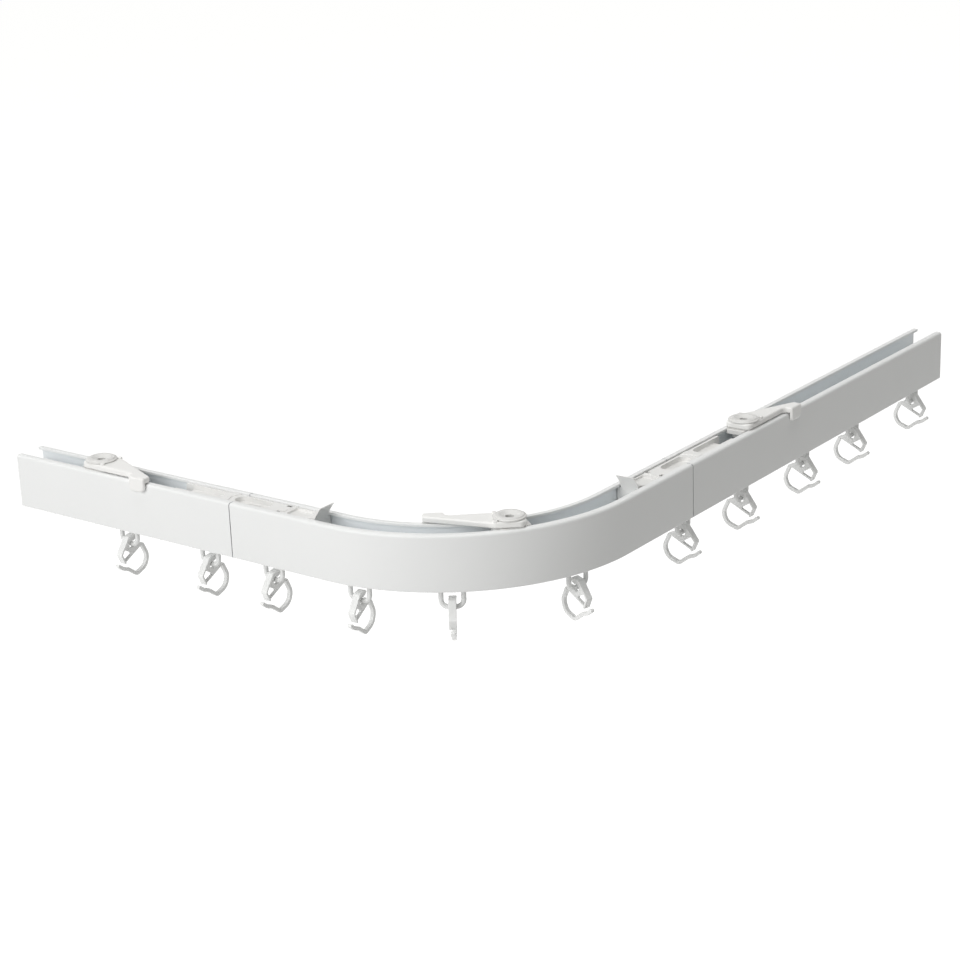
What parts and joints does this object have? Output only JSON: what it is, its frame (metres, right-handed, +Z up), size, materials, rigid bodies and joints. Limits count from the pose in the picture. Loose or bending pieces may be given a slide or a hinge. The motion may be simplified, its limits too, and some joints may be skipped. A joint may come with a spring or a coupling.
{
  "type": "curtain track",
  "caption": "White aluminium curtain track that turns a corner, clipped to ceiling fittings with turning levers, with gliders and hanging hooks.",
  "frame": {"origin": "on the corner fitting's screw axis, where the screw hole opens into the countersink in its round head, 1.2 mm below the ceiling", "axes": "+X along the short left arm, from its end towards the corner; +Y along the long right arm, from the corner to its end; +Z up to the ceiling"},
  "size_m": [0.311, 0.4432, 0.0624],
  "materials": {
    "white_coated_aluminium": "satin powder coat",
    "white_plastic": "moulded, soft gloss",
    "glider_plastic": "moulded, slightly milky",
    "hook_plastic": "moulded, slightly milky"
  },
  "bodies": {
    "track": {"left_track": "white_coated_aluminium", "corner_track": "white_coated_aluminium", "right_track": "white_coated_aluminium", "left_connector": "white_plastic", "right_connector": "white_plastic", "left_ceiling_fitting": "white_plastic", "corner_ceiling_fitting": "white_plastic", "right_ceiling_fitting": "white_plastic"},
    "left_lever": {"left_locking_lever": "white_plastic"},
    "corner_lever": {"corner_locking_lever": "white_plastic"},
    "right_lever": {"right_locking_lever": "white_plastic"},
    "glider_01": {"glider_01": "glider_plastic"},
    "glider_02": {"glider_02": "glider_plastic"},
    "glider_03": {"glider_03": "glider_plastic"},
    "glider_04": {"glider_04": "glider_plastic"},
    "glider_05": {"glider_05": "glider_plastic"},
    "glider_06": {"glider_06": "glider_plastic"},
    "glider_07": {"glider_07": "glider_plastic"},
    "glider_08": {"glider_08": "glider_plastic"},
    "glider_09": {"glider_09": "glider_plastic"},
    "glider_10": {"glider_10": "glider_plastic"},
    "glider_11": {"glider_11": "glider_plastic"},
    "hook_01": {"curtain_hook_01": "hook_plastic"},
    "hook_02": {"curtain_hook_02": "hook_plastic"},
    "hook_03": {"curtain_hook_03": "hook_plastic"},
    "hook_04": {"curtain_hook_04": "hook_plastic"},
    "hook_05": {"curtain_hook_05": "hook_plastic"},
    "hook_06": {"curtain_hook_06": "hook_plastic"},
    "hook_07": {"curtain_hook_07": "hook_plastic"},
    "hook_08": {"curtain_hook_08": "hook_plastic"},
    "hook_09": {"curtain_hook_09": "hook_plastic"},
    "hook_10": {"curtain_hook_10": "hook_plastic"},
    "hook_11": {"curtain_hook_11": "hook_plastic"}
  },
  "joints": [
    {"name": "left_lever_turn", "type": "hinge", "parent": "track", "child": "left_lever", "pos_m": [-0.22766, -0.03634, -0.0025], "axis": [0, 0, -1], "range_deg": [0, 80]},
    {"name": "corner_lever_turn", "type": "hinge", "parent": "track", "child": "corner_lever", "pos_m": [0, 0, -0.0025], "axis": [0, 0, -1], "range_deg": [0, 80]},
    {"name": "right_lever_turn", "type": "hinge", "parent": "track", "child": "right_lever", "pos_m": [0.0188, 0.18116, -0.0025], "axis": [0, 0, -1], "range_deg": [0, 80]},
    {"name": "glider_01_slide", "type": "slide", "parent": "track", "child": "glider_01", "axis": [1, 0, 0], "range_m": [-0.0607, 0.0205]},
    {"name": "glider_02_slide", "type": "slide", "parent": "track", "child": "glider_02", "axis": [1, 0, 0], "range_m": [-0.0205, 0.0135]},
    {"name": "glider_03_slide", "type": "slide", "parent": "track", "child": "glider_03", "axis": [1, 0, 0], "range_m": [-0.0135, 0.0191]},
    {"name": "glider_04_round_bend", "type": "hinge", "parent": "track", "child": "glider_04", "pos_m": [-0.0733, 0.05576, -0.0306], "axis": [0, 0, 1], "range_deg": [-2.3, 9.6]},
    {"name": "glider_05_round_bend", "type": "hinge", "parent": "track", "child": "glider_05", "pos_m": [-0.0733, 0.05576, -0.0306], "axis": [0, 0, 1], "range_deg": [-9.6, 15.1]},
    {"name": "glider_06_round_bend", "type": "hinge", "parent": "track", "child": "glider_06", "pos_m": [-0.0733, 0.05576, -0.0306], "axis": [0, 0, 1], "range_deg": [-15.1, 10.9]},
    {"name": "glider_07_slide", "type": "slide", "parent": "track", "child": "glider_07", "axis": [0, 1, 0], "range_m": [-0.0375, 0.0218]},
    {"name": "glider_08_slide", "type": "slide", "parent": "track", "child": "glider_08", "axis": [0, 1, 0], "range_m": [-0.0218, 0.0257]},
    {"name": "glider_09_slide", "type": "slide", "parent": "track", "child": "glider_09", "axis": [0, 1, 0], "range_m": [-0.0257, 0.0216]},
    {"name": "glider_10_slide", "type": "slide", "parent": "track", "child": "glider_10", "axis": [0, 1, 0], "range_m": [-0.0216, 0.0301]},
    {"name": "glider_11_slide", "type": "slide", "parent": "track", "child": "glider_11", "axis": [0, 1, 0], "range_m": [-0.0301, 0.0102]},
    {"name": "hook_01_swing", "type": "hinge", "parent": "glider_01", "child": "hook_01", "pos_m": [-0.21234, -0.03634, -0.0425], "axis": [1, 0, 0], "range_deg": [-75, 75]},
    {"name": "hook_02_swing", "type": "hinge", "parent": "glider_02", "child": "hook_02", "pos_m": [-0.15681, -0.03634, -0.0425], "axis": [1, 0, 0], "range_deg": [-75, 75]},
    {"name": "hook_03_swing", "type": "hinge", "parent": "glider_03", "child": "hook_03", "pos_m": [-0.11519, -0.03634, -0.0425], "axis": [1, 0, 0], "range_deg": [-75, 75]},
    {"name": "hook_04_swing", "type": "hinge", "parent": "glider_04", "child": "hook_04", "pos_m": [-0.06233, -0.03568, -0.0425], "axis": [0.9929, 0.1191, 0], "range_deg": [-75, 75]},
    {"name": "hook_05_swing", "type": "hinge", "parent": "glider_05", "child": "hook_05", "pos_m": [-0.02023, -0.01951, -0.0425], "axis": [0.8172, 0.5763, 0], "range_deg": [-75, 75]},
    {"name": "hook_06_swing", "type": "hinge", "parent": "glider_06", "child": "hook_06", "pos_m": [0.01546, 0.03118, -0.0425], "axis": [0.2669, 0.9637, 0], "range_deg": [-75, 75]},
    {"name": "hook_07_swing", "type": "hinge", "parent": "glider_07", "child": "hook_07", "pos_m": [0.0188, 0.12046, -0.0425], "axis": [0, 1, 0], "range_deg": [-75, 75]},
    {"name": "hook_08_swing", "type": "hinge", "parent": "glider_08", "child": "hook_08", "pos_m": [0.0188, 0.17868, -0.0425], "axis": [0, 1, 0], "range_deg": [-75, 75]},
    {"name": "hook_09_swing", "type": "hinge", "parent": "glider_09", "child": "hook_09", "pos_m": [0.0188, 0.24462, -0.0425], "axis": [0, 1, 0], "range_deg": [-75, 75]},
    {"name": "hook_10_swing", "type": "hinge", "parent": "glider_10", "child": "hook_10", "pos_m": [0.0188, 0.30246, -0.0425], "axis": [0, 1, 0], "range_deg": [-75, 75]},
    {"name": "hook_11_swing", "type": "hinge", "parent": "glider_11", "child": "hook_11", "pos_m": [0.0188, 0.37734, -0.0425], "axis": [0, 1, 0], "range_deg": [-75, 75]}
  ]
}
